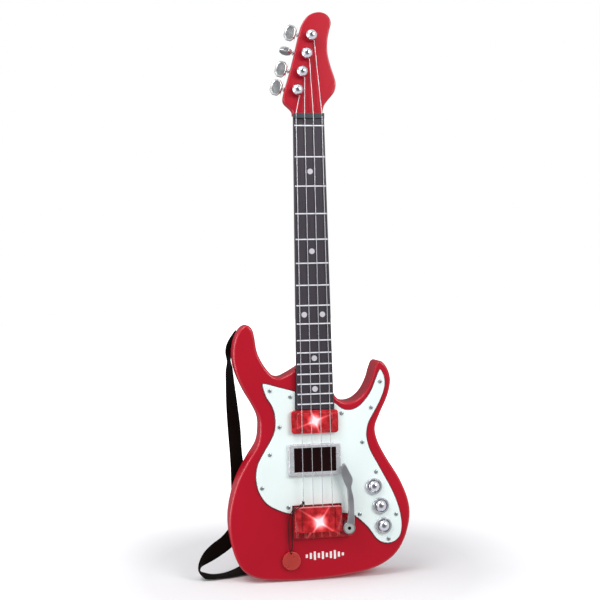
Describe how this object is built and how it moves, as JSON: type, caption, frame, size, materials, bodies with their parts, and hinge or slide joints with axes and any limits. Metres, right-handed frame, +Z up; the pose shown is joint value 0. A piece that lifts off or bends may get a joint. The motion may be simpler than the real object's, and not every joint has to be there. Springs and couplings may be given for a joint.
{
  "type": "toy electric guitar",
  "caption": "Toy electric guitar with a double cutaway body, pickguard, lit pickup covers, sound buttons, whammy arm, tuners, strap and a corded pick.",
  "frame": {"origin": "centre of the neck just below the headstock, where a hanger or stand yoke holds it", "axes": "+Z up along the neck towards the headstock, -Y out of the front face, +X to the right seen from the front"},
  "size_m": [0.2539, 0.0726, 0.6717],
  "materials": {
    "red_plastic": "gloss",
    "white_plastic": "gloss",
    "dark_plastic": "satin",
    "fret_white": "satin",
    "marker_grey": "satin",
    "nut_grey": "satin",
    "steel": "brushed",
    "chrome": "polished",
    "pearl_plastic": "pearl",
    "string_white": "satin",
    "clear_red": "gloss",
    "window_red": "gloss",
    "arm_grey": "satin",
    "bezel_metal": "satin",
    "rubber": "matte",
    "circuit_board": "satin",
    "speaker_black": "matte",
    "battery_wrap": "gloss",
    "contact_brass": "satin",
    "black_plastic": "satin",
    "shaft_plastic": "satin",
    "webbing": "woven",
    "pick_plastic": "gloss",
    "black_cord": "braided",
    "white_print": "satin"
  },
  "bodies": {
    "guitar": {"front_body_shell": "red_plastic", "rear_body_shell": "red_plastic", "body_screws": "steel", "pickguard": "white_plastic", "pickguard_screws": "steel", "fretboard": "dark_plastic", "neck_back": "dark_plastic", "neck_screws": "steel", "frets": "fret_white", "fret_markers": "marker_grey", "nut": "nut_grey", "headstock_shell": "red_plastic", "headstock_cover": "red_plastic", "headstock_screws": "steel", "string_anchor": "chrome", "neck_pickup_cover": "clear_red", "neck_led_board": "circuit_board", "pickup_frame": "chrome", "pickup_window": "window_red", "bridge_cover": "clear_red", "bridge_led_board": "circuit_board", "whammy_spring": "steel", "button_bezels": "bezel_metal", "button_board": "circuit_board", "main_board": "circuit_board", "speaker": "speaker_black", "batteries": "battery_wrap", "battery_contacts": "contact_brass", "power_switch_body": "steel", "strap_pegs": "chrome", "strap": "webbing", "strap_slider": "black_plastic", "pick": "pick_plastic", "pick_cord": "black_cord", "badge_bars": "white_print", "tuner_post_1": "chrome", "string_1": "string_white", "tuner_post_2": "chrome", "string_2": "string_white", "tuner_post_3": "chrome", "string_3": "string_white", "tuner_post_4": "chrome", "string_4": "string_white", "rubber_dome_1": "rubber", "rubber_dome_2": "rubber", "rubber_dome_3": "rubber"},
    "whammy": {"whammy_arm": "arm_grey", "whammy_screw": "steel", "whammy_shaft": "shaft_plastic"},
    "battery_lid": {"battery_door": "red_plastic", "battery_door_screw": "steel"},
    "switch_knob": {"power_switch_knob": "black_plastic"},
    "key_1": {"tuner_key_1": "pearl_plastic"},
    "key_2": {"tuner_key_2": "pearl_plastic"},
    "key_3": {"tuner_key_3": "pearl_plastic"},
    "key_4": {"tuner_key_4": "pearl_plastic"},
    "sound_button_1": {"button_1": "chrome"},
    "sound_button_2": {"button_2": "chrome"},
    "sound_button_3": {"button_3": "chrome"}
  },
  "joints": [
    {"name": "tuner_key_1_turn", "type": "hinge", "parent": "guitar", "child": "key_1", "pos_m": [-0.01777, 0.0015, 0.10732], "axis": [-0.9636, 0, 0.2672], "continuous": true},
    {"name": "tuner_key_2_turn", "type": "hinge", "parent": "guitar", "child": "key_2", "pos_m": [-0.02376, 0.0015, 0.08574], "axis": [-0.9636, 0, 0.2672], "continuous": true},
    {"name": "tuner_key_3_turn", "type": "hinge", "parent": "guitar", "child": "key_3", "pos_m": [-0.02974, 0.0015, 0.06415], "axis": [-0.9636, 0, 0.2672], "continuous": true},
    {"name": "tuner_key_4_turn", "type": "hinge", "parent": "guitar", "child": "key_4", "pos_m": [-0.03573, 0.0015, 0.04257], "axis": [-0.9636, 0, 0.2672], "continuous": true},
    {"name": "button_1_press", "type": "slide", "parent": "guitar", "child": "sound_button_1", "axis": [0, 1, 0], "range_m": [0, 0.002], "stiffness_N_per_m": 600, "springref_m": -0.001, "deforming": ["rubber_dome_1"]},
    {"name": "button_2_press", "type": "slide", "parent": "guitar", "child": "sound_button_2", "axis": [0, 1, 0], "range_m": [0, 0.002], "stiffness_N_per_m": 600, "springref_m": -0.001, "deforming": ["rubber_dome_2"]},
    {"name": "button_3_press", "type": "slide", "parent": "guitar", "child": "sound_button_3", "axis": [0, 1, 0], "range_m": [0, 0.002], "stiffness_N_per_m": 600, "springref_m": -0.001, "deforming": ["rubber_dome_3"]},
    {"name": "whammy_swing", "type": "hinge", "parent": "guitar", "child": "whammy", "pos_m": [0.036, -0.0115, -0.478], "axis": [0, 1, 0], "range_deg": [-7, 15], "stiffness_Nm_per_rad": 0.05, "deforming": ["whammy_spring"]},
    {"name": "battery_lid_lift", "type": "slide", "parent": "guitar", "child": "battery_lid", "axis": [0, 1, 0], "range_m": [0, 0.05]},
    {"name": "power_switch_slide", "type": "slide", "parent": "guitar", "child": "switch_knob", "axis": [1, 0, 0], "range_m": [0, 0.006]}
  ]
}
